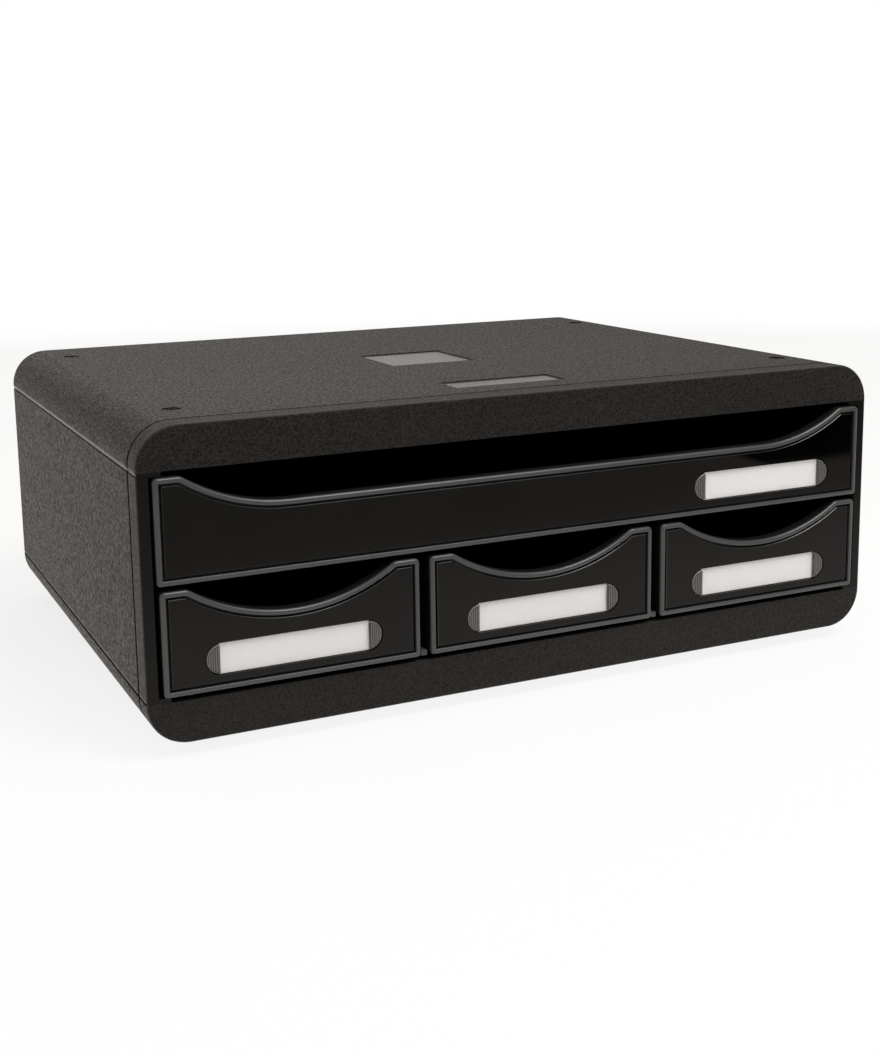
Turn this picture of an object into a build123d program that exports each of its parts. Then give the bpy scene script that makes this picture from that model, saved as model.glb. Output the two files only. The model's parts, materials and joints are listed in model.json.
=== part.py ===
from build123d import *
import math
import os

# Mini drawer unit for a desk: a wide drawer over a row of three small ones, in a casing of two
# rounded covers and two side panels. Millimetres, +Z up, and the drawers open towards -Y.
# The origin is on the table, under the middle of the unit.

# Overall size
width = 355.0
depth = 270.0
height = 135.0
foot_height = 6.0
front_proud = 2.2

# One overrun serves every cut that leaves a body
overrun = 1.0

# Covers: two equal shells, one turned over
cover_height = 18.0
cover_straight = 0.5
cover_wall = 2.5
edge_round = 1.4
rib_wall = 1.5
rib_height = 6.0
line_setback = 11.4
line_width = 1.5
line_depth = 0.8

# Bare recessed plates in the top
square_plate_size = 44.2
square_plate_setback = 131.0
long_plate_length = 54.5
long_plate_width = 18.0
long_plate_setback = 37.0
plate_drop = 0.5

# Screws that hold the covers to the side panels
screw_inset = 25.0
screw_setback = 36.4
shank_radius = 1.5
head_radius = 3.4
head_height = 1.3
cross_length = 4.2
cross_width = 0.9
cross_depth = 0.8
seat_depth = 1.6
seat_gap = 0.4
shank_gap = 0.2
thread_gap = 0.05
boss_radius = 4.5
pilot_radius = 4.0
pilot_height = 8.0
tip_gap = 1.5
ear_radius = 7.0

# Side panels
side_wall = 2.5
jamb_width = 5.0
jamb_depth = 10.0
rear_jamb_depth = 3.0
flange_ledge = 5.0
low_flange = 2.1
high_flange = 1.9
strip_height = 1.2
strip_recess = 0.35
strip_line_width = 0.35
strip_line_depth = 0.6
low_chamfer_height = 0.9
low_chamfer_depth = 0.5
ledge = 2.0
slot_gap = 0.2

# Back panel, shelf and dividers
back_wall = 2.5
shelf_wall = 1.6
divider_wall = 2.0
divider_setback = 14.0
foot_flange = 16.0
nose_width = 2.6
nose_height = 2.2
nose_setback = 0.2

# Drawer fronts
side_gap = 1.1
small_side_gap = 1.8
drawer_gap = 4.8
runner_gap = 0.3
head_gap = 0.35
shoulder = 11.2
scoop_depth = 13.6
corner_round = 2.0
low_corner_round = 1.5
kink_round = 4.0
front_wall = 3.6
lip_wall = 1.6
lip_depth = 6.0
rim_width = 2.2
rim_round = 1.2
rim_inner_round = 0.4
groove_width = 1.0
groove_drop = 2.4
panel_drop = 0.5
panel_bevel = 0.3

# Drawer trays
tray_inset = 1.0
tray_wall = 1.8
tray_drop = 4.8
tray_clearance = 8.0
tray_corner_round = 4.0
tray_floor_round = 3.0

# Stops that keep a drawer from falling out
stop_setback = 48.0
stop_wall = 1.6
stop_gap = 0.65
tab_width = 36.0
tab_side_gap = 5.0
small_stop_drop = 2.2
wide_tab_rise = 2.0

# Label windows and cards
label_length = 76.0
label_height = 12.9
label_centre = 12.9
wide_label_inset = 55.2
label_drop = 1.5
label_gap = 0.2
window_proud = 0.2
window_round = 0.3
card_length = 64.5
card_wall = 0.25
card_gap = 0.1

# Feet
foot_radius = 10.0
foot_sole_radius = 9.0
foot_sole_round = 1.0
foot_inset = 55.0
foot_setback = 42.0
spigot_radius = 3.0
spigot_gap = 0.1

# Places worked out from the sizes above
half_width = width / 2
cover_radius = cover_height - cover_straight
flange_reach = jamb_width + flange_ledge
y_back = depth / 2
y_rim = -depth / 2
y_casing = y_rim + front_proud
z_base = foot_height
z_low_seam = z_base + cover_height
z_high_seam = height - cover_height
z_low_flange = z_low_seam + low_flange
z_high_flange = z_high_seam - high_flange
z_strip = z_high_seam - strip_height
y_panel_rear = y_back - rear_jamb_depth - slot_gap
y_panel_front = y_panel_rear - back_wall
y_slot_front = y_panel_front - slot_gap
y_tray_rear = y_slot_front - tray_clearance
y_stop = y_casing + stop_setback
screw_x = half_width - screw_inset
screw_ys = (y_casing + screw_setback, y_back - screw_setback)
screw_points = [(x, y) for x in (-screw_x, screw_x) for y in screw_ys]

# Rows of drawers: both rows have fronts of one height
row_space = z_high_flange - z_low_flange - shelf_wall
front_height = row_space / 2 - runner_gap - head_gap
tray_height = front_height - tray_drop
z_small = z_low_flange + runner_gap
z_shelf = z_small + front_height + head_gap
z_shelf_top = z_shelf + shelf_wall
z_wide = z_shelf_top + runner_gap
wide_width = width - 2 * jamb_width - 2 * side_gap
row_width = width - 2 * jamb_width - 2 * small_side_gap
small_width = (row_width - 2 * drawer_gap) / 3
small_pitch = small_width + drawer_gap
rib_pitch = small_pitch / 2

# The scoop: one arc on a small front, two arcs and a flat between them on the wide one
scoop_run = small_width / 2 - shoulder
scoop_radius = (scoop_run**2 + scoop_depth**2) / (2 * scoop_depth)
scoop_sweep = math.degrees(math.asin(scoop_run / scoop_radius))
wide_flat = wide_width / 2 - shoulder - scoop_run

# Layers of a drawer front, from the rim's face inwards
y_panel = y_rim + panel_drop
y_groove = y_rim + groove_drop
y_label = y_panel + label_drop
y_plate_rear = y_rim + front_wall
y_lip_rear = y_rim + lip_depth


def slab(sketch, y_rear, y_front, x=0.0, z=0.0):
    """A sketch of X and Z, thickened from y_rear forwards to y_front."""
    plane = Plane(origin=(x, y_rear, z), x_dir=(1, 0, 0), z_dir=(0, -1, 0))
    return extrude(plane * sketch, amount=y_rear - y_front, dir=(0, -1, 0))


def block(x_span, y_span, z_span):
    """A block between pairs of limits."""
    sizes = [high - low for low, high in (x_span, y_span, z_span)]
    corner = [low for low, high in (x_span, y_span, z_span)]
    return Pos(*corner) * Box(*sizes, align=(Align.MIN, Align.MIN, Align.MIN))


def post(radius, x, y, z_low, z_high):
    """An upright round bar or hole."""
    bar = Cylinder(radius, z_high - z_low, align=(Align.CENTER, Align.CENTER, Align.MIN))
    return Pos(x, y, z_low) * bar


def turned_over(body):
    """The body mirrored top to bottom about the casing's middle height."""
    return mirror(body, about=Plane.XY.offset((z_base + height) / 2))


def cover_profile(inset, skirt=0.0):
    """The cover's section, drawn in by inset at the top and sides, open below by skirt."""
    box = Rectangle(width - 2 * inset, cover_height - inset + skirt, align=(Align.CENTER, Align.MIN))
    return fillet((Pos(0, -skirt) * box).vertices().group_by(Axis.Y)[-1], cover_radius - inset)


def cover_shell():
    """The shell that both covers share, in the top cover's place."""
    solid = slab(cover_profile(0.0), y_back, y_casing, z=z_high_seam)
    ends = solid.edges().filter_by(Axis.Y, reverse=True).group_by(Axis.Z)[1:]
    solid = fillet([edge for group in ends for edge in group], edge_round)
    inside = cover_profile(cover_wall, overrun)
    hollow = slab(inside, y_back - cover_wall, y_casing + cover_wall, z=z_high_seam)
    around = cover_profile(-overrun, overrun) - cover_profile(line_depth, overrun)
    y_line = y_casing + line_setback
    line = slab(around, y_line + line_width, y_line, z=z_high_seam)
    return solid - hollow - line


def cover_ribs():
    """A grid of shallow ribs under the cover's wall."""
    z_span = (height - cover_wall - rib_height, height - cover_wall / 2)
    reach = half_width - cover_radius
    y_span = (y_casing + cover_wall / 2, y_back - cover_wall / 2)
    ribs = []
    for k in range(-int(reach // rib_pitch), int(reach // rib_pitch) + 1):
        x = k * rib_pitch
        ribs.append(block((x - rib_wall / 2, x + rib_wall / 2), y_span, z_span))
    rows = int((y_span[1] - y_span[0]) // rib_pitch)
    for k in range(1, rows + 1):
        y = y_span[0] + (y_span[1] - y_span[0]) * k / (rows + 1)
        ribs.append(block((-reach, reach), (y - rib_wall / 2, y + rib_wall / 2), z_span))
    return ribs


def cover():
    """Shell, ribs and screw bosses, in the top cover's place."""
    body = cover_shell() + cover_ribs()
    z_boss = z_high_seam + pilot_height
    for x, y in screw_points:
        body += post(boss_radius, x, y, z_boss, height - cover_wall / 2)
    for x, y in screw_points:
        body -= post(shank_radius + shank_gap, x, y, z_boss - overrun, height + overrun)
        body -= post(head_radius + seat_gap, x, y, height - seat_depth, height + overrun)
    return body


def plate_recess(length, across, setback):
    """The pocket of a bare plate in the top."""
    y = y_casing + setback
    y_span = (y - across / 2, y + across / 2)
    return block((-length / 2, length / 2), y_span, (height - plate_drop, height + overrun))


def top_cover():
    body = cover()
    body -= plate_recess(square_plate_size, square_plate_size, square_plate_setback)
    body -= plate_recess(long_plate_length, long_plate_width, long_plate_setback)
    reach = tab_width / 2 + tab_side_gap
    stop = block((-reach, reach), (y_stop, y_stop + stop_wall), (z_high_seam, height - cover_wall / 2))
    return body + stop


def foot_points():
    """Name and middle of each foot."""
    points = {}
    for end, y in (("front", y_casing + foot_setback), ("rear", y_back - foot_setback)):
        for side, x in (("left", foot_inset - half_width), ("right", half_width - foot_inset)):
            points[f"{end}_{side}_foot"] = (x, y)
    return points


def bottom_cover():
    body = turned_over(cover())
    y_span = (y_casing + cover_wall / 2, y_back - cover_wall / 2)
    for x in (-small_pitch / 2, small_pitch / 2):
        x_span = (x - divider_wall / 2, x + divider_wall / 2)
        body += block(x_span, y_span, (z_base + cover_wall / 2, z_low_seam))
    for x, y in foot_points().values():
        body -= post(spigot_radius + spigot_gap, x, y, z_base - overrun, z_base + cover_wall + rib_height)
    return body


def foot(x, y):
    """A turned pad with a spigot that sits in the bottom cover."""
    sole = (foot_sole_radius - foot_sole_round, 0)
    heel = (foot_sole_radius, foot_sole_round)
    z_spigot = z_base + cover_wall
    rest = Polyline(heel, (foot_radius, z_base), (spigot_radius, z_base), (spigot_radius, z_spigot))
    close = Polyline((spigot_radius, z_spigot), (0, z_spigot), (0, 0), sole)
    section = make_face((rest + close + RadiusArc(sole, heel, -foot_sole_round)).edges())
    return Pos(x, y) * revolve(Plane.XZ * section, Axis.Z)


def screw(x, y):
    """A cross-head screw, standing in the top cover."""
    z_seat = height - seat_depth
    body = post(head_radius, x, y, z_seat, z_seat + head_height)
    body = fillet(body.edges().group_by(Axis.Z)[-1], head_height / 2)
    body += post(shank_radius, x, y, z_high_seam + tip_gap, z_seat)
    z_span = (z_seat + head_height - cross_depth, height + overrun)
    for long, short in ((cross_length, cross_width), (cross_width, cross_length)):
        body -= block((x - long / 2, x + long / 2), (y - short / 2, y + short / 2), z_span)
    return body


def side_section():
    """The left panel's channel section, from its outer face inwards."""
    z_line = z_strip - strip_line_width
    points = [
        (low_chamfer_depth, z_low_seam),
        (flange_reach, z_low_seam),
        (flange_reach, z_low_flange),
        (jamb_width, z_low_flange),
        (jamb_width, z_high_flange),
        (flange_reach, z_high_flange),
        (flange_reach, z_high_seam),
        (strip_recess, z_high_seam),
        (strip_recess, z_strip),
        (strip_line_depth, z_strip),
        (strip_line_depth, z_line),
        (0, z_line),
        (0, z_low_seam + low_chamfer_height),
    ]
    return make_face(Polyline(*points, close=True).edges())


def side_pockets():
    """What is taken out of the left panel's inner face: two bays, the shelf's slot and the back panel's."""
    x_span = (side_wall - half_width, jamb_width - half_width + overrun)
    y_bay = (y_casing + jamb_depth, y_slot_front - ledge)
    z_slot_top = z_shelf_top + slot_gap
    return [
        block(x_span, y_bay, (z_low_flange, z_shelf - ledge)),
        block(x_span, y_bay, (z_slot_top + ledge, z_high_flange)),
        block(x_span, (y_bay[0], y_panel_rear), (z_shelf, z_slot_top)),
        block(x_span, (y_slot_front, y_panel_rear + slot_gap), (z_low_flange, z_high_flange)),
    ]


def screw_ear(y, z_low, z_high):
    """A tongue of the left panel's flange, under a screw."""
    x_flange = flange_reach - half_width
    tongue = block((x_flange - ledge, -screw_x), (y - ear_radius, y + ear_radius), (z_low, z_high))
    return tongue + post(ear_radius, -screw_x, y, z_low, z_high)


def left_side_panel():
    x_span = (-half_width, flange_reach - half_width)
    rounded = block(x_span, (y_casing, y_back), (z_low_seam, z_high_seam))
    rounded = fillet(rounded.edges().filter_by(Axis.Z).group_by(Axis.X)[0], edge_round)
    body = rounded & slab(side_section(), y_back, y_casing, x=-half_width)
    body -= side_pockets()
    y_line = y_casing + line_setback
    x_skin = (-half_width - overrun, -half_width + line_depth)
    z_skin = (z_low_seam - overrun, z_strip - strip_line_width)
    body -= block(x_skin, (y_line, y_line + line_width), z_skin)
    x_jamb = (-half_width - overrun, jamb_width - half_width)
    y_jamb = (y_casing - overrun, y_casing + strip_line_width)
    body -= block(x_jamb, y_jamb, (z_strip - strip_line_width, z_strip))
    for y in screw_ys:
        body += screw_ear(y, z_high_flange, z_high_seam)
        body += screw_ear(y, z_low_seam, z_low_flange)
        body += post(pilot_radius, -screw_x, y, z_high_seam, z_high_seam + pilot_height)
        body += post(pilot_radius, -screw_x, y, z_low_seam - pilot_height, z_low_seam)
    for y in screw_ys:
        body -= post(shank_radius + thread_gap, -screw_x, y, z_low_seam - cover_height, height)
    return body


def back_panel():
    """A plate in the side panels' slots, notched round their flanges."""
    full = width - 2 * side_wall - 2 * slot_gap
    between = width - 2 * flange_reach - 2 * slot_gap
    tall = Pos(0, z_low_seam) * Rectangle(
        between, z_high_seam - z_low_seam, align=(Align.CENTER, Align.MIN)
    )
    z_edge = z_low_flange + slot_gap
    broad = Pos(0, z_edge) * Rectangle(
        full, z_high_flange - slot_gap - z_edge, align=(Align.CENTER, Align.MIN)
    )
    return slab(tall + broad, y_panel_rear, y_panel_front)


def middle_shelf():
    """The plate under the wide drawer, with a stop rib over each small one."""
    reach = half_width - side_wall - slot_gap
    y_span = (y_casing + jamb_depth + slot_gap, y_slot_front)
    body = block((-reach, reach), y_span, (z_shelf, z_shelf_top))
    stop = tab_width / 2 + tab_side_gap
    y_rib = (y_stop, y_stop + stop_wall)
    for x in (-small_pitch, 0, small_pitch):
        body += block((x - stop, x + stop), y_rib, (z_shelf - small_stop_drop, z_shelf))
    return body


def divider(x):
    """An upright wall on a flat foot that the small drawers run on, with a nose at the front."""
    y_web = y_casing + divider_setback
    y_span = (y_web, y_slot_front)
    web = block((x - divider_wall / 2, x + divider_wall / 2), y_span, (z_low_seam, z_shelf))
    flange = block((x - foot_flange / 2, x + foot_flange / 2), y_span, (z_low_seam, z_low_flange))
    y_nose = (y_casing + nose_setback, y_web + divider_wall)
    z_nose = (z_low_flange, z_low_flange + nose_height)
    nose = block((x - nose_width / 2, x + nose_width / 2), y_nose, z_nose)
    return web + flange + nose


def scoop_line(flat):
    """The scoop's lower edge: arcs that meet at the middle, or at the ends of a flat."""
    low = front_height - scoop_depth
    centre = low + scoop_radius
    if not flat:
        return CenterArc((0, centre), scoop_radius, -90 - scoop_sweep, 2 * scoop_sweep)
    left = CenterArc((-flat, centre), scoop_radius, -90 - scoop_sweep, scoop_sweep)
    right = CenterArc((flat, centre), scoop_radius, -90, scoop_sweep)
    return left + Line((-flat, low), (flat, low)) + right


def front_outline(front_width, flat):
    """A drawer front seen from the front, standing on its lower edge."""
    half = front_width / 2
    mouth = half - shoulder
    left = [(-mouth, front_height), (-half, front_height), (-half, 0)]
    right = [(half, 0), (half, front_height), (mouth, front_height)]
    frame = Polyline(*left, *right)
    face = make_face((frame + scoop_line(flat)).edges())
    face = fillet(face.vertices().group_by(Axis.Y)[0], low_corner_round)
    top = face.vertices().group_by(Axis.Y)[-1].sort_by(Axis.X)
    face = fillet([top[0], top[-1]], corner_round)
    top = face.vertices().group_by(Axis.Y)[-1].sort_by(Axis.X)
    return fillet(top[1:3], kink_round)


def drawer_front(front_width, flat, x, z):
    """A rounded rim with a lip behind it, a shadow groove inside and a bevelled panel in the groove."""
    outline = front_outline(front_width, flat)
    body = slab(outline, y_plate_rear, y_rim, x, z)
    body = fillet(body.faces().sort_by(Axis.Y)[0].edges(), rim_round)
    inside = offset(outline, amount=-rim_width, kind=Kind.INTERSECTION)
    field = offset(outline, amount=-rim_width - groove_width, kind=Kind.INTERSECTION)
    body -= slab(inside, y_groove, y_rim - overrun, x, z)
    rim_face = body.faces().sort_by(Axis.Y)[0]
    body = fillet(rim_face.inner_wires()[0].edges(), rim_inner_round)
    panel = slab(field, y_groove, y_panel, x, z)
    body += chamfer(panel.faces().sort_by(Axis.Y)[0].edges(), panel_bevel)
    opening = offset(outline, amount=-lip_wall, kind=Kind.INTERSECTION)
    return body + slab(outline - opening, y_lip_rear, y_plate_rear, x, z)


def tray(front_width, x, z):
    """The open box behind a front, with a rounded inside."""
    half = front_width / 2 - tray_inset
    outer = block((x - half, x + half), (y_plate_rear, y_tray_rear), (z, z + tray_height))
    inner_half = half - tray_wall
    inner = block(
        (x - inner_half, x + inner_half),
        (y_plate_rear, y_tray_rear - tray_wall),
        (z + tray_wall, z + tray_height + overrun),
    )
    inner = fillet(inner.edges().filter_by(Axis.Z), tray_corner_round)
    inner = fillet(inner.faces().sort_by(Axis.Z)[0].edges(), tray_floor_round)
    return outer - inner


def label_seat(x, z, grow):
    """The label's stadium outline, grown by a gap, as a sketch and its place."""
    return SlotOverall(label_length + 2 * grow, label_height + 2 * grow), x, z + label_centre


def drawer(front_width, flat, x, z, x_label, z_tab):
    """Front and tray in one moulding, with a label seat and a stop tab on the rear wall."""
    y_tab = (y_tray_rear - tray_wall, y_tray_rear)
    tab = block((x - tab_width / 2, x + tab_width / 2), y_tab, (z + tray_height - tray_wall, z_tab))
    body = drawer_front(front_width, flat, x, z) + tray(front_width, x, z) + tab
    sketch, seat_x, seat_z = label_seat(x_label, z, label_gap)
    return body - slab(sketch, y_label, y_rim, seat_x, seat_z)


def label_window(x, z):
    """The clear cover, hollowed behind for the card."""
    sketch, seat_x, seat_z = label_seat(x, z, 0.0)
    body = slab(sketch, y_label, y_panel - window_proud, seat_x, seat_z)
    body = fillet(body.faces().sort_by(Axis.Y)[0].edges(), window_round)
    half = card_length / 2 + card_gap
    z_span = (seat_z - label_height, seat_z + label_height)
    return body - block((x - half, x + half), (y_label - card_wall, y_label + overrun), z_span)


def label_card(x, z):
    """The card between the window and the drawer front."""
    z_span = (z + label_centre - label_height / 2, z + label_centre + label_height / 2)
    return block((x - card_length / 2, x + card_length / 2), (y_label - card_wall, y_label), z_span)


def drawer_set(name, label, front_width, flat, x, z, x_label, z_tab):
    """A drawer with its label, under their node names."""
    return {
        name: drawer(front_width, flat, x, z, x_label, z_tab),
        f"{label}_label_window": label_window(x_label, z),
        f"{label}_label_card": label_card(x_label, z),
    }


def unit():
    """Every piece of the unit, by node name."""
    left = left_side_panel()
    screws = [screw(x, y) for x, y in screw_points]
    pieces = {
        "top_cover": top_cover(),
        "bottom_cover": bottom_cover(),
        "left_side_panel": left,
        "right_side_panel": mirror(left, about=Plane.YZ),
        "back_panel": back_panel(),
        "middle_shelf": middle_shelf(),
        "left_divider": divider(-small_pitch / 2),
        "right_divider": divider(small_pitch / 2),
        "cover_screws": Compound(children=screws),
        "base_screws": Compound(children=[turned_over(piece) for piece in screws]),
    }
    for name, (x, y) in foot_points().items():
        pieces[name] = foot(x, y)
    x_wide_label = wide_width / 2 - wide_label_inset
    z_wide_tab = z_high_seam + wide_tab_rise
    pieces |= drawer_set("wide_drawer", "wide", wide_width, wide_flat, 0, z_wide, x_wide_label, z_wide_tab)
    for side, x in (("left", -small_pitch), ("middle", 0), ("right", small_pitch)):
        name = f"{side}_small_drawer"
        pieces |= drawer_set(name, side, small_width, 0, x, z_small, x, z_shelf - stop_gap)
    return pieces


os.makedirs("parts", exist_ok=True)
for node, piece in unit().items():
    export_step(piece, f"parts/{node}.step")
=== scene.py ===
import json
import math

import bmesh
import bpy
from mathutils import Matrix, Vector


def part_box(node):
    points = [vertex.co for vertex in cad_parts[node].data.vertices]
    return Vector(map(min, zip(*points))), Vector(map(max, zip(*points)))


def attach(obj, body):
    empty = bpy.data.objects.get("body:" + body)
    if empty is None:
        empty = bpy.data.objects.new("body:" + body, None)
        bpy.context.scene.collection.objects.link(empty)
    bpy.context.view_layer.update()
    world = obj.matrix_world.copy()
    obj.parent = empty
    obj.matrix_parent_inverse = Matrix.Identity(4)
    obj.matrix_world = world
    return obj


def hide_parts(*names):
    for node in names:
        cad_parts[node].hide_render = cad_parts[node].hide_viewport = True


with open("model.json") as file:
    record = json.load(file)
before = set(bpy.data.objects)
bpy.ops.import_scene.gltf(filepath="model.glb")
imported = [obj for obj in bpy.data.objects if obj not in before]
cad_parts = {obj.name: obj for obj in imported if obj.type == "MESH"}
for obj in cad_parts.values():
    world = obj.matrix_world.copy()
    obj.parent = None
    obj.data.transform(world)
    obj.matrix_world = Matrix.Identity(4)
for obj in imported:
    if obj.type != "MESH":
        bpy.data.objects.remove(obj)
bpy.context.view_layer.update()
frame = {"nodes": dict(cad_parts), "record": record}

MM = 0.001

# Places shared with the solids, read from the frame
COVER_LOW, COVER_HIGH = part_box("top_cover")
CASING_FRONT = COVER_LOW.y
TOP = COVER_HIGH.z
SEAM = COVER_LOW.z
LOW_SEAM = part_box("bottom_cover")[1].z
RIM_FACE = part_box("wide_drawer")[0].y
SMALL_LOW, SMALL_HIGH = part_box("left_small_drawer")
FRONT_HEIGHT = SMALL_HIGH.z - SMALL_LOW.z
SMALL_HALF = (SMALL_HIGH.x - SMALL_LOW.x) / 2

# Mould sizes that the finishes follow
LINE_SETBACK = 11.4 * MM
LINE_WIDTH = 1.5 * MM
EDGE_ROUND = 1.4 * MM
STRIP_HEIGHT = 1.2 * MM
LOW_CHAMFER = 0.9 * MM
PLATE_DROP = 0.5 * MM
SQUARE_HALF = 22.1 * MM
SQUARE_SETBACK = 131 * MM
LONG_HALF = 27.25 * MM
LONG_HALF_WIDTH = 9 * MM
LONG_SETBACK = 37 * MM
HEAD_RADIUS = 3.4 * MM
SEAT_GAP = 0.5 * MM
RIM_WIDTH = 2.2 * MM
RIM_ROUND = 1.2 * MM
GROOVE_WIDTH = 1.0 * MM
PANEL_BEVEL = 0.3 * MM
FRONT_WALL = 3.6 * MM
SHOULDER = 11.2 * MM
SCOOP_DEPTH = 13.6 * MM
SCOOP_RUN = SMALL_HALF - SHOULDER
SCOOP_RADIUS = (SCOOP_RUN**2 + SCOOP_DEPTH**2) / (2 * SCOOP_DEPTH)

# Grain: how wide its spots are, how deep it is, and the span of noise that it stretches out
CASING_FINE = 0.5 * MM
CASING_PEBBLES = 1.3 * MM
CASING_CLOUD = 55 * MM
CASING_DEPTH = 0.36 * MM
CASING_SPAN = (0.28, 0.72)
DRAWER_FINE = 0.7 * MM
DRAWER_CLOUD = 35 * MM
DIVIDER_FINE = 0.8 * MM
SATIN_DEPTH = 0.03 * MM
SATIN_SPAN = (0.25, 0.75)
CARD_FIBRE = 0.5 * MM
CARD_CLOUD = 9 * MM
CARD_DEPTH = 0.02 * MM
RUBBER_DUST = 1.2 * MM
RING_PITCH = 1.6 * MM
RING_DEPTH = 0.25 * MM
SCREW_WEAR = 0.8 * MM
WINDOW_HAZE = 6 * MM
FROST = 1.5 * MM

# Half the width of a step from one finish to another
SOFT = 0.1 * MM
SHARP = 0.05 * MM
WALL_SOFT = 0.2 * MM

# Where a finish, or a painted light or shade, comes in: the place with none of it, then the place with all
# of it
BAND_FADE = (LINE_SETBACK + 0.3 * MM, LINE_SETBACK - 0.3 * MM)
EDGE_RISE = (0.08 * EDGE_ROUND, 0.4 * EDGE_ROUND)
EDGE_FALL = (1.2 * EDGE_ROUND, 0.7 * EDGE_ROUND)
FLANK_FADE = (SEAM + 13 * MM, SEAM + 4 * MM)
LOW_LIGHT_FADE = (70 * MM, 25 * MM)
TOP_LIGHT_FADE = (120 * MM, -100 * MM)
PLATE_FADE = (0.6 * PLATE_DROP, 0.3 * PLATE_DROP)
HEM_FADE = (SEAM + 1.0 * MM, SEAM + 0.3 * MM)
RIM_SHADE_FADE = (RIM_ROUND + 0.5 * MM, RIM_ROUND - 0.2 * MM)
NOSE_FADE = (9 * MM, 3 * MM)
SOLE_FADE = (-17 * MM, -20 * MM)

# How far a finish, a painted shade or a painted highlight reaches past the form that it belongs to
LINE_SPREAD = 0.3 * MM
TOP_SKIN = 1 * MM
SIDE_SKIN = 2 * MM
JAMB_SKIN = 0.25 * MM
SEAM_BELOW = 0.3 * MM
SEAM_ABOVE = 0.8 * LOW_CHAMFER
FOOT_EDGE = 0.7 * MM
GROOVE_WALL = 0.12 * MM
BEVEL_EASE = 0.1 * MM

# How strongly the casing's details show: painted shade in the line, painted highlights on the hem, strip
# and foot
LINE_SHARE = 0.2
HEM_SHARE = 0.6
STRIP_SHARE = 0.9
FOOT_SHARE = 0.4

# Label windows
CARD_HALF = 32.25 * MM
WINDOW_GAP = 0.4 * MM
WINDOW_EDGE = 0.4 * MM
RIB_PITCH = 0.95 * MM
FIRST_RIB = 0.6 * RIB_PITCH
RIB_WIDTH = 0.5 * MM
RIB_ROUND = RIB_WIDTH * 0.3
RIB_HEIGHT = 0.22 * MM
RIB_MARGIN = 0.7 * MM
ROUND_SEGMENTS = 64
SAME_PLACE = 0.001 * MM
FACING_SHARE = 0.95
END_SLOT, RIB_SLOT, EDGE_SLOT = 1, 2, 3


class Value:
    """A number that varies over a surface: arithmetic on it adds Math nodes."""

    def __init__(self, nodes, socket):
        self.nodes = nodes
        self.socket = socket

    def math(self, operation, *terms):
        return self.nodes.node("ShaderNodeMath", {"operation": operation}, dict(enumerate(terms)))

    def __add__(self, other):
        return self.math("ADD", self, other)

    def __radd__(self, other):
        return self.math("ADD", other, self)

    def __sub__(self, other):
        return self.math("SUBTRACT", self, other)

    def __rsub__(self, other):
        return self.math("SUBTRACT", other, self)

    def __mul__(self, other):
        return self.math("MULTIPLY", self, other)

    def __rmul__(self, other):
        return self.math("MULTIPLY", other, self)

    def __abs__(self):
        return self.math("ABSOLUTE", self)

    def __pow__(self, other):
        return self.math("POWER", self, other)

    def sine(self):
        return self.math("SINE", self)

    def lower(self, other):
        return self.math("MINIMUM", self, other)

    def higher(self, other):
        return self.math("MAXIMUM", self, other)

    def ramp(self, start, end, low=0.0, high=1.0):
        """A smooth step from low at start to high at end."""
        sockets = {"Value": self, "From Min": start, "From Max": end, "To Min": low, "To Max": high}
        return self.nodes.node("ShaderNodeMapRange", {"interpolation_type": "SMOOTHSTEP"}, sockets)


class Nodes:
    """A node tree, and the nodes that this scene puts into one."""

    def __init__(self, tree):
        self.tree = tree

    def node(self, kind, settings=None, inputs=None, output=0):
        """Any node, by its type, its settings and the values or links of its sockets."""
        made = self.tree.nodes.new(kind)
        for name, value in (settings or {}).items():
            setattr(made, name, value)
        for socket, value in (inputs or {}).items():
            self.link(value, made.inputs[socket])
        return Value(self, made.outputs[output])

    def link(self, value, socket):
        """Links a varying value to a socket, or sets a plain one on it."""
        if isinstance(value, Value):
            self.tree.links.new(value.socket, socket)
        else:
            socket.default_value = value

    def split(self, point):
        """The three coordinates of a point."""
        return [self.node("ShaderNodeSeparateXYZ", inputs={0: point}, output=axis) for axis in range(3)]

    def noise(self, point, size, detail=2.0, rough=0.5):
        """Soft mottling with spots of about this size in metres, from 0 to 1."""
        sockets = {"Vector": point, "Scale": 1 / size, "Detail": detail, "Roughness": rough}
        return self.node("ShaderNodeTexNoise", None, sockets)

    def blend(self, share, first, second):
        """A colour between two, by share."""
        sockets = {"Factor": share, "A": first, "B": second}
        return self.node("ShaderNodeMix", {"data_type": "RGBA"}, sockets, output="Result")


class Finish(Nodes):
    """A procedural material: its shader's fixed sockets, and nodes for what varies."""

    def __init__(self, name, **fixed):
        self.material = bpy.data.materials.new(name)
        self.material.use_nodes = True
        super().__init__(self.material.node_tree)
        self.shader = self.tree.nodes["Principled BSDF"]
        for socket, value in fixed.items():
            self.shader.inputs[socket.replace("_", " ")].default_value = value
        self.point = self.node("ShaderNodeTexCoord", output="Object")
        self.x, self.y, self.z = self.split(self.point)

    def feed(self, **varying):
        """Gives the shader's sockets what varies over the surface."""
        for socket, value in varying.items():
            self.link(value, self.shader.inputs[socket.replace("_", " ")])

    def bump(self, height, depth):
        """Raises the surface by height, where one unit of height is depth metres."""
        self.feed(Normal=self.node("ShaderNodeBump", inputs={"Height": height, "Distance": depth}))


def grey(level, warmth=0.0):
    """A neutral colour in linear light, a little warmer or cooler."""
    return (level * (1 + warmth), level, level * (1 - warmth), 1.0)


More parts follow.
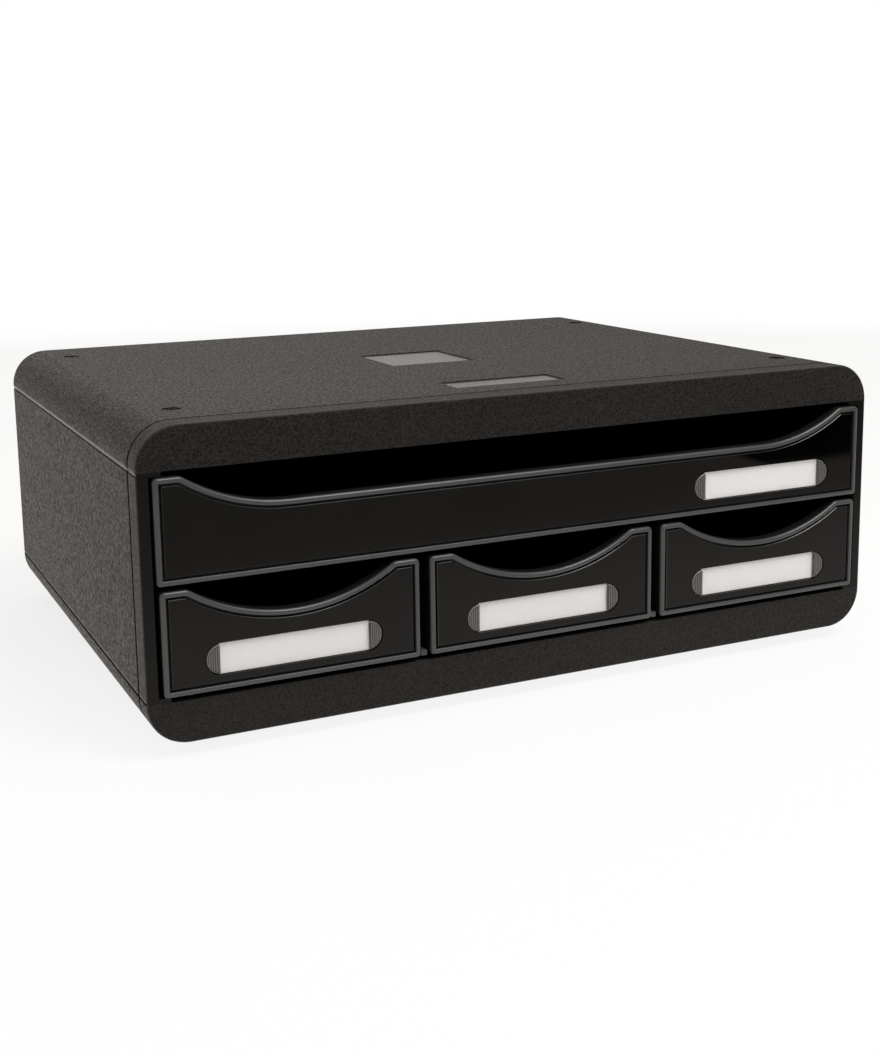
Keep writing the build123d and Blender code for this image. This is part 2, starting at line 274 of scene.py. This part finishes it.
# Colours, as one tone or as the darkest and the palest of a finish
SHADOW_TONE = grey(0.001, 0.1)
CASING_TONES = SHADOW_TONE, grey(0.015, 0.1)
JAMB_SHADE_TONES = SHADOW_TONE, grey(0.003, 0.1)
# Polished places, painted pale as a highlight
POLISH_HIGHLIGHT_TONE = grey(0.062, 0.05)
TRAY_TONES = grey(0.006, 0.04), grey(0.012, 0.04)
RIM_TONES = grey(0.038, -0.02), grey(0.056, -0.02)
PANEL_TONES = grey(0.0006, 0.06), grey(0.0016, 0.06)
BEVEL_PAINTED_HIGHLIGHT = grey(0.01)
# The panel's bevel and groove, painted lighter than the panel: a highlight on the bevel, light in the
# groove
GROOVE_PAINTED_LIGHT = grey(0.04)
WALL_TONES = grey(0.006, 0.04), grey(0.013, 0.04)
NOSE_TONES = grey(0.052, 0.02), grey(0.082, 0.02)
CARD_TONES = grey(0.72, -0.01), grey(0.79, -0.01)
RUBBER_TONES = grey(0.010), grey(0.034, 0.02)
STEEL_TONES = grey(0.004), grey(0.05, 0.03)
CLEAR_TONE = grey(0.9)
FLOOR_TONE = grey(0.86)
WHITE = grey(1.0)
WARM_WHITE = grey(1.0, 0.06)
LAMP_TONE = grey(1.0, 0.02)


def step(value, limit, soft=SOFT):
    """One past the limit, none before it."""
    return value.ramp(limit - soft, limit + soft)


def inside_plate(finish, setback, half, half_width):
    """Where a bare plate lies in the top, seen from above."""
    along = finish.y - (CASING_FRONT + setback)
    return (1 - step(abs(finish.x), half)) * (1 - step(abs(along), half_width))


def outer_side(finish):
    """The outer left and right faces, short of the rounded front edges."""
    return step(abs(finish.x), COVER_HIGH.x - SIDE_SKIN) * step(finish.y, CASING_FRONT + EDGE_ROUND)


def top_area(finish):
    """The floors of the bare plates, and the hem along the cover's foot: polished, and painted pale as a
    highlight.
    """
    square = inside_plate(finish, SQUARE_SETBACK, SQUARE_HALF, SQUARE_HALF)
    plates = square.higher(inside_plate(finish, LONG_SETBACK, LONG_HALF, LONG_HALF_WIDTH))
    floor_level = abs(finish.z - (TOP - PLATE_DROP))
    hem = finish.z.ramp(*HEM_FADE, 0.0, HEM_SHARE) * outer_side(finish)
    return (plates * floor_level.ramp(*PLATE_FADE)).higher(hem)


def screw_seat_shade(finish):
    """The round seats of the screws in the top, painted dark as shade in the recess round each head."""
    low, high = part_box("cover_screws")
    middle = (low + high) / 2
    across = abs(finish.x - middle.x) - (high.x - middle.x - HEAD_RADIUS)
    along = abs(finish.y - middle.y) - (high.y - middle.y - HEAD_RADIUS)
    return 1 - step((across**2 + along**2) ** 0.5, HEAD_RADIUS + SEAT_GAP)


def low_seam_shade(finish):
    """Painted shadow line where the bottom cover meets the side panels."""
    below, above = LOW_SEAM - SEAM_BELOW, LOW_SEAM + SEAM_ABOVE
    return step(finish.z, below) * (1 - step(finish.z, above)) * outer_side(finish)


def strip_area(finish):
    """The recessed strip along the top of a side panel, and the edge over the chamfer along its foot:
    polished, and painted pale as a highlight.
    """
    strip = STRIP_SHARE * step(finish.z, SEAM - STRIP_HEIGHT)
    foot = FOOT_SHARE - FOOT_SHARE * step(finish.z, LOW_SEAM + LOW_CHAMFER + FOOT_EDGE)
    return strip.higher(foot) * outer_side(finish)


def line_shade(finish, from_front):
    """Painted shade in and beside the moulded line behind the front band: wide and black low on the flanks,
    faint on the top.
    """
    off_line = abs(from_front - LINE_SETBACK - LINE_WIDTH / 2)
    flank = finish.z.ramp(*FLANK_FADE)
    dark = (1 - step(off_line, LINE_WIDTH / 2 + LINE_SPREAD)) * flank
    return dark.higher(LINE_SHARE - step(off_line, LINE_WIDTH / 2) * LINE_SHARE)


def casing_finish(name, area=None, painted_shade=None, jamb=False):
    """Charcoal plastic with a sandy mould grain, polished at its front edges and painted lighter there as a
    highlight.

    It is polished and painted lighter as a highlight in an area, and painted dark as shade in its moulded
    line and in a given shade mask. It is painted lighter low down and at the front of the top as light, and
    darker at the back of the top as shade. A jamb has a plain front face painted dark as shade.
    """
    finish = Finish(name, Specular_IOR_Level=0.2)
    fine = finish.noise(finish.point, CASING_FINE, 2).ramp(*CASING_SPAN)
    pebbles = finish.noise(finish.point, CASING_PEBBLES, 1).ramp(*CASING_SPAN)
    cloud = finish.noise(finish.point, CASING_CLOUD, 2)
    from_front = finish.y - CASING_FRONT
    front_band = from_front.ramp(*BAND_FADE)
    fine_share = 0.45 + front_band * 0.25
    grain = pebbles + (fine - pebbles) * fine_share
    # the rounded front edges: polished, and painted pale as a highlight
    edge = from_front.ramp(*EDGE_RISE) * from_front.ramp(*EDGE_FALL)
    dark = line_shade(finish, from_front)
    if painted_shade:
        dark = dark.higher(painted_shade(finish))
    grained = 1 - edge * 0.4
    smooth = edge * 0.45
    if area:
        smooth = smooth.higher(area(finish))
        grained = grained * (1 - smooth * 0.85)
    depth = (grain - 0.5) * grained
    # Painted light and shade: lighter low down, where the floor lights the casing, and on the top lighter
    # at the front and darker at the back. The grain's contrast also drops low on the front band.
    low_down = finish.z.ramp(*LOW_LIGHT_FADE)
    on_top = step(finish.z, TOP - TOP_SKIN) * (1 - front_band)
    painted_light_and_shade = low_down * 0.25 + on_top * finish.y.ramp(*TOP_LIGHT_FADE, -0.3, 0.4)
    contrast = 1.8 + front_band * (1.4 - low_down * 2.0)
    tone = 0.5 + depth * contrast + (cloud - 0.5) * 0.5 + painted_light_and_shade
    plain = finish.blend(tone, *CASING_TONES)
    colour = finish.blend(smooth, plain, POLISH_HIGHLIGHT_TONE)
    rough = 0.5 - depth * 0.5 - smooth * 0.32
    if jamb:
        # the jamb's front face is painted dark as shade
        face = 1 - step(from_front, JAMB_SKIN)
        depth = depth * (1 - face)
        colour = finish.blend(face, colour, finish.blend(fine, *JAMB_SHADE_TONES))
        rough = rough * (1 - face) + face * (0.28 + fine * 0.08)
    # painted shade: the moulded line and the given shade mask take the shadow tone
    colour = finish.blend(dark, colour, SHADOW_TONE)
    finish.feed(Base_Color=colour, Roughness=rough.higher(dark))
    finish.bump(0.5 + depth, CASING_DEPTH)
    return finish.material


def inside_outline(finish, node):
    """How far a point of a drawer front lies inside its scooped outline."""
    low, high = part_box(node)
    half = (high.x - low.x) / 2
    across = abs(finish.x - (low.x + high.x) / 2)
    rise = finish.z - low.z
    flat = half - SHOULDER - SCOOP_RUN
    beside = (across - flat).higher(0.0)
    scoop_centre = FRONT_HEIGHT - SCOOP_DEPTH + SCOOP_RADIUS
    from_centre = (beside**2 + (rise - scoop_centre) ** 2) ** 0.5
    frame_edge = (half - across).lower(rise).lower(FRONT_HEIGHT - rise)
    return frame_edge.lower(from_centre - SCOOP_RADIUS)


def drawer_finish(node):
    """A satin grey rim round a gloss black panel; the tray behind is satin black. Behind its front the
    rim's grey fades into the tray's black as painted shade, and the groove and bevel round the panel are
    painted lighter as light.
    """
    finish = Finish(f"{node}_plastic", Specular_IOR_Level=0.22, Coat_IOR=1.5, Coat_Roughness=0.3)
    behind = finish.y - RIM_FACE
    inside = inside_outline(finish, node)
    within = step(inside, RIM_WIDTH + GROOVE_WALL, SHARP)
    # behind its front the rim's grey fades to the tray's black as painted shade
    rim = (1 - within) * behind.ramp(*RIM_SHADE_FADE)
    panel = within * (1 - step(behind, FRONT_WALL, WALL_SOFT))
    panel_edge = RIM_WIDTH + GROOVE_WIDTH
    groove = 1 - step(inside, panel_edge - GROOVE_WALL, SHARP)
    bevel_end = panel_edge + PANEL_BEVEL + BEVEL_EASE
    bevel = step(inside, panel_edge + BEVEL_EASE, SHARP) * (1 - step(inside, bevel_end, SHARP))
    fine = finish.noise(finish.point, DRAWER_FINE, 2).ramp(*SATIN_SPAN)
    cloud = finish.noise(finish.point, DRAWER_CLOUD, 2).ramp(*SATIN_SPAN)
    tray_tone = finish.blend(fine, *TRAY_TONES)
    rim_tone = finish.blend(fine * 0.5 + cloud * 0.5, *RIM_TONES)
    panel_tone = finish.blend(cloud, *PANEL_TONES)
    # painted light: the groove and the bevel are lighter than the black panel
    border_painted_light = finish.blend(groove, BEVEL_PAINTED_HIGHLIGHT, GROOVE_PAINTED_LIGHT)
    panel_tone = finish.blend(bevel.higher(groove), panel_tone, border_painted_light)
    colour = finish.blend(panel, finish.blend(rim, tray_tone, rim_tone), panel_tone)
    matt = 0.48 - (fine - 0.5) * 0.16 - rim * 0.16
    gloss = 0.015 + cloud * 0.02 + bevel * 0.2 + groove * 0.4
    coat = rim * 0.6 + panel * bevel * 0.6
    finish.feed(Base_Color=colour, Roughness=matt * (1 - panel) + gloss * panel, Coat_Weight=coat)
    finish.bump(fine * (1 - panel) + cloud * panel * 0.5, SATIN_DEPTH)
    return finish.material


def divider_finish():
    """A casing wall whose nose at the front is as pale as the drawers' rims."""
    finish = Finish("divider_plastic", Specular_IOR_Level=0.22)
    fine = finish.noise(finish.point, DIVIDER_FINE, 2).ramp(*SATIN_SPAN)
    nose = (finish.y - CASING_FRONT).ramp(*NOSE_FADE)
    wall = finish.blend(fine, *WALL_TONES)
    pale = finish.blend(fine, *NOSE_TONES)
    finish.feed(Base_Color=finish.blend(nose, wall, pale), Roughness=0.5 - (fine - 0.5) * 0.15)
    finish.bump(fine, SATIN_DEPTH)
    return finish.material


def card_finish():
    """White card with a faint fibre."""
    finish = Finish("label_card")
    fibre = finish.noise(finish.point, CARD_FIBRE, 4, 0.65)
    cloud = finish.noise(finish.point, CARD_CLOUD, 2, 0.5)
    tone = fibre * 0.5 + cloud * 0.5
    finish.feed(Base_Color=finish.blend(tone, *CARD_TONES), Roughness=0.6 + fibre * 0.2)
    finish.bump(fibre, CARD_DEPTH)
    return finish.material


def rubber_finish():
    """Matt black rubber with turned rings on the sole, a little dusty."""
    finish = Finish("foot_rubber")
    dust = finish.noise(finish.point, RUBBER_DUST, 4, 0.65)
    low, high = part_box("rear_right_foot")
    middle = (COVER_LOW.y + COVER_HIGH.y) / 2
    across = abs(finish.x) - (low.x + high.x) / 2
    along = abs(finish.y - middle) - ((low.y + high.y) / 2 - middle)
    ring = ((across**2 + along**2) ** 0.5 * (2 * math.pi / RING_PITCH)).sine()
    turned = (ring * 0.5 + 0.5) * (finish.z - LOW_SEAM).ramp(*SOLE_FADE)
    tone = dust * 0.7 + turned * 0.3
    finish.feed(Base_Color=finish.blend(tone, *RUBBER_TONES), Roughness=0.75 + dust * 0.2)
    finish.bump(dust * 0.2 + turned, RING_DEPTH)
    return finish.material


def screw_finish():
    """Matt black steel, worn a little brighter."""
    finish = Finish("dark_screw", Specular_IOR_Level=0.1)
    wear = finish.noise(finish.point, SCREW_WEAR, 3, 0.6)
    worn = wear.ramp(0.5, 0.75)
    colour = finish.blend(worn, *STEEL_TONES)
    finish.feed(Base_Color=colour, Metallic=worn * 0.5, Roughness=0.5 + wear * 0.2)
    return finish.material


def clear_finish():
    """The clear middle of a label window, which only adds a sheen over the card."""
    finish = Finish("clear_window", Base_Color=CLEAR_TONE, IOR=1.49)
    haze = finish.noise(finish.point, WINDOW_HAZE, 2, 0.5)
    finish.feed(Alpha=haze.ramp(0, 1, 0.05, 0.12), Roughness=haze.ramp(0, 1, 0.06, 0.12))
    return finish.material


def frosted_finish(name, low, high):
    """The ends, ribs or edges of a label window: clear plastic painted grey as it reads over the dark seat;
    on ribs and edges the lighter grey is a painted highlight.
    """
    finish = Finish(name, IOR=1.49)
    haze = finish.noise(finish.point, FROST, 2, 0.5)
    finish.feed(Base_Color=finish.blend(haze, grey(low), grey(high)), Roughness=haze.ramp(0, 1, 0.2, 0.3))
    return finish.material


def piece_from(bm, name, *materials):
    """A finished mesh piece at the origin."""
    bmesh.ops.recalc_face_normals(bm, faces=bm.faces)
    mesh = bpy.data.meshes.new(name)
    bm.to_mesh(mesh)
    bm.free()
    for material in materials:
        mesh.materials.append(material)
    piece = bpy.data.objects.new(name, mesh)
    bpy.context.scene.collection.objects.link(piece)
    return piece


def soften(bm, edges, offset, segments):
    """Rounds edges off."""
    bmesh.ops.bevel(
        bm, geom=edges, offset=offset, segments=segments, profile=0.5, affect="EDGES", material=-1
    )


def front_edges(bm, y):
    """The edges that lie in the plane at y."""
    return [edge for edge in bm.edges if all(abs(v.co.y - y) < SAME_PLACE for v in edge.verts)]


def stadium(bm, low, high):
    """A stadium-shaped plate that fills a box, with a softened front edge."""
    middle = (low + high) / 2
    radius = (high.z - low.z) / 2
    run = (high.x - low.x) / 2 - radius
    upright = Matrix.Rotation(math.pi / 2, 4, "X") @ Matrix.Rotation(math.pi / ROUND_SEGMENTS, 4, "Z")
    bmesh.ops.create_circle(bm, cap_ends=True, segments=ROUND_SEGMENTS, radius=radius, matrix=upright)
    for side in (-1, 1):
        half = [v for v in bm.verts if v.co.x * side > 0]
        bmesh.ops.translate(bm, verts=half, vec=(side * run, 0, 0))
    back = bm.faces[:]
    front = bmesh.ops.extrude_face_region(bm, geom=back, use_keep_orig=True)["geom"]
    front_verts = [v for v in front if isinstance(v, bmesh.types.BMVert)]
    bmesh.ops.translate(bm, verts=front_verts, vec=(0, low.y - high.y, 0))
    soften(bm, front_edges(bm, low.y - high.y), WINDOW_EDGE, 3)
    bmesh.ops.translate(bm, verts=bm.verts, vec=(middle.x, high.y, middle.z))


def rib(bm, x, y, z, half_length):
    """A low upright ridge on a window's end."""
    size = Matrix.Diagonal((RIB_WIDTH, 2 * RIB_HEIGHT, 2 * half_length, 1))
    made = bmesh.ops.create_cube(bm, size=1.0, matrix=Matrix.Translation((x, y, z)) @ size)["verts"]
    for face in {face for v in made for face in v.link_faces}:
        face.material_index = RIB_SLOT
    crests = [e for e in bm.edges if all(v in made and v.co.y < y for v in e.verts)]
    soften(bm, crests, RIB_ROUND, 2)


def label_window(node, *finishes):
    """The snap-in window: a clear plate with ribbed half-round ends, a little smaller than its seat."""
    gap = Vector((WINDOW_GAP, 0, WINDOW_GAP))
    low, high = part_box(node)
    low, high = low + gap, high - gap
    middle = (low + high) / 2
    bm = bmesh.new()
    stadium(bm, low, high)
    for side in (-1, 1):
        cut = Vector((middle.x + side * CARD_HALF, 0, 0))
        plate = bm.verts[:] + bm.edges[:] + bm.faces[:]
        bmesh.ops.bisect_plane(bm, geom=plate, plane_co=cut, plane_no=(1, 0, 0))
    radius = (high.z - low.z) / 2
    reach = (high.x - low.x) / 2 - radius
    for side in (-1, 1):
        x = CARD_HALF + FIRST_RIB
        while x < reach + radius - RIB_MARGIN:
            chord = math.sqrt(radius**2 - max(x - reach, 0) ** 2) - RIB_MARGIN
            rib(bm, middle.x + side * x, low.y, middle.z, chord)
            x += RIB_PITCH
    bm.normal_update()
    ends = [f for f in bm.faces if abs(f.calc_center_median().x - middle.x) > CARD_HALF]
    for face in ends:
        if face.material_index != RIB_SLOT:
            face.material_index = END_SLOT if abs(face.normal.y) > FACING_SHARE else EDGE_SLOT
    piece = piece_from(bm, f"{node}_ribbed", *finishes)
    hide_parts(node)
    return piece


def dress(node, material):
    """Gives a solid its finish."""
    piece = frame["nodes"][node]
    piece.data.materials.clear()
    piece.data.materials.append(material)


CASING = casing_finish("casing_plastic")
SIDE_PANEL = casing_finish("side_panel_plastic", area=strip_area, painted_shade=low_seam_shade, jamb=True)
DIVIDER = divider_finish()
SCREW = screw_finish()
RUBBER = rubber_finish()
CARD = card_finish()
WINDOW = (
    clear_finish(),
    frosted_finish("window_end", 0.02, 0.045),
    # the ribs and the edges are painted lighter as highlights
    frosted_finish("window_rib_highlight", 0.11, 0.16),
    frosted_finish("window_edge_highlight", 0.22, 0.32),
)
FINISHES = {
    "top_cover": casing_finish("top_cover_plastic", area=top_area, painted_shade=screw_seat_shade),
    "bottom_cover": casing_finish("bottom_cover_plastic", painted_shade=low_seam_shade),
    "left_side_panel": SIDE_PANEL,
    "right_side_panel": SIDE_PANEL,
    "left_divider": DIVIDER,
    "right_divider": DIVIDER,
    "cover_screws": SCREW,
    "base_screws": SCREW,
}

for body, group in frame["record"]["behaviour"]["bodies"].items():
    for node in group:
        if node.endswith("_window"):
            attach(label_window(node, *WINDOW), body)
        elif node.endswith("_card"):
            dress(node, CARD)
        elif node.endswith("_foot"):
            dress(node, RUBBER)
        elif node.endswith("_drawer"):
            dress(node, drawer_finish(node))
        else:
            dress(node, FINISHES.get(node, CASING))

# Stage: a pale floor that keeps a soft shadow and fades into the white round it
FLOOR_SIZE = 8.0
FRONT_GLOW_SHARE = 0.93
REAR_GLOW_SHARE = 0.8
GLOW_FADE = (-0.3, 0.1)
OPEN_FADE = (0.5, 1.6)

# The floor as gloss plastic mirrors it: a table that dims towards its near edge, with a corner at the right
TABLE_EDGE = -0.49
TABLE_CORNER = 0.4
EDGE_BLUR = 0.02
CORNER_BLUR = 0.008
DUSK_START = -0.2
DUSK_SHARE = 0.5

bm = bmesh.new()
bmesh.ops.create_grid(bm, x_segments=1, y_segments=1, size=FLOOR_SIZE)
table = Finish("pale_floor", Base_Color=FLOOR_TONE, Roughness=0.9)
floor = piece_from(bm, "floor", table.material)
seen = table.node("ShaderNodeLightPath", output="Is Camera Ray")
passed = table.node("ShaderNodeLightPath", output="Is Transmission Ray")
mirrored = table.node("ShaderNodeLightPath", output="Is Glossy Ray")
away = (table.x**2 + table.y**2) ** 0.5
near_share = table.y.ramp(*GLOW_FADE, FRONT_GLOW_SHARE, REAR_GLOW_SHARE)
open_share = near_share.higher(away.ramp(*OPEN_FADE))
dusk = table.y.ramp(DUSK_START, TABLE_EDGE, 1.0, DUSK_SHARE)
past_side = table.x.ramp(TABLE_CORNER - CORNER_BLUR, TABLE_CORNER + CORNER_BLUR)
past_edge = table.y.ramp(TABLE_EDGE + EDGE_BLUR, TABLE_EDGE - EDGE_BLUR)
brightness = (1 - mirrored) + mirrored * dusk * (1 - past_side * past_edge)
glow_tint = table.blend(mirrored, WHITE, WARM_WHITE)
glow = table.node("ShaderNodeEmission", None, {"Color": glow_tint, "Strength": brightness})
share = (seen.higher(passed) * open_share).higher(mirrored)
surface = Value(table, table.shader.outputs[0])
mixed = table.node("ShaderNodeMixShader", None, {0: share, 1: surface, 2: glow})
table.link(mixed, table.tree.nodes["Material Output"].inputs["Surface"])

# Light: a soft lamp in a plain room. The room's levels name two directions, then the level at each
ONWARD_LEVELS = (-0.6, 0.8, 0.7, 1.0)
RIGHT_LEVELS = (0.1, 0.8, 1.0, 0.5)
LEFT_LEVELS = (-0.6, 0.1, 0.65, 1.0)
UPWARD_LEVELS = (0.06, 0.16, 0.45, 1.0)
LAMP_SIZE = 0.8
LAMP_POWER = 13.5
LAMP_PLACE = Vector((0.35, -0.75, 1.3))

world = bpy.data.worlds.new("studio")
bpy.context.scene.world = world
world.use_nodes = True
room = Nodes(world.node_tree)
seen = room.node("ShaderNodeLightPath", output="Is Camera Ray")
sideways, onward, upward = room.split(room.node("ShaderNodeTexCoord", output="Generated"))
level = onward.ramp(*ONWARD_LEVELS) * sideways.ramp(*RIGHT_LEVELS) * sideways.ramp(*LEFT_LEVELS)
level = level * upward.ramp(*UPWARD_LEVELS)
backdrop = room.tree.nodes["Background"]
room.link(room.blend(seen, WARM_WHITE, WHITE), backdrop.inputs["Color"])
room.link(seen + (1 - seen) * level, backdrop.inputs["Strength"])

lamp = bpy.data.lights.new("soft_lamp", "AREA")
lamp.shape = "DISK"
lamp.size = LAMP_SIZE
lamp.energy = LAMP_POWER
lamp.color = LAMP_TONE[:3]
hung = bpy.data.objects.new("soft_lamp", lamp)
hung.matrix_world = Matrix.Translation(LAMP_PLACE) @ LAMP_PLACE.to_track_quat("Z", "Y").to_matrix().to_4x4()
bpy.context.scene.collection.objects.link(hung)

# Camera at the photograph's place
IMAGE_HEIGHT = 1056
FOCAL_PIXELS = 1482.0
AXIS_ROW = 431.1
SENSOR = 36.0
NEAREST = 0.01
CAMERA_PLACE = Vector((-307.6, -681.6, 231.3)) * MM
AZIMUTH = math.radians(25.24)
PITCH = math.radians(10.2)
ROLL = math.radians(-0.84)

lens = bpy.data.cameras.new("camera")
lens.sensor_fit = "VERTICAL"
lens.sensor_height = SENSOR
lens.lens = FOCAL_PIXELS * SENSOR / IMAGE_HEIGHT
lens.shift_y = (AXIS_ROW - IMAGE_HEIGHT / 2) / IMAGE_HEIGHT
lens.clip_start = NEAREST
camera = bpy.data.objects.new("camera", lens)
turn = Matrix.Rotation(-AZIMUTH, 4, "Z") @ Matrix.Rotation(math.pi / 2 - PITCH, 4, "X")
camera.matrix_world = Matrix.Translation(CAMERA_PLACE) @ turn @ Matrix.Rotation(ROLL, 4, "Z")
bpy.context.scene.collection.objects.link(camera)
bpy.context.scene.camera = camera

bpy.context.scene.view_settings.view_transform = "Standard"
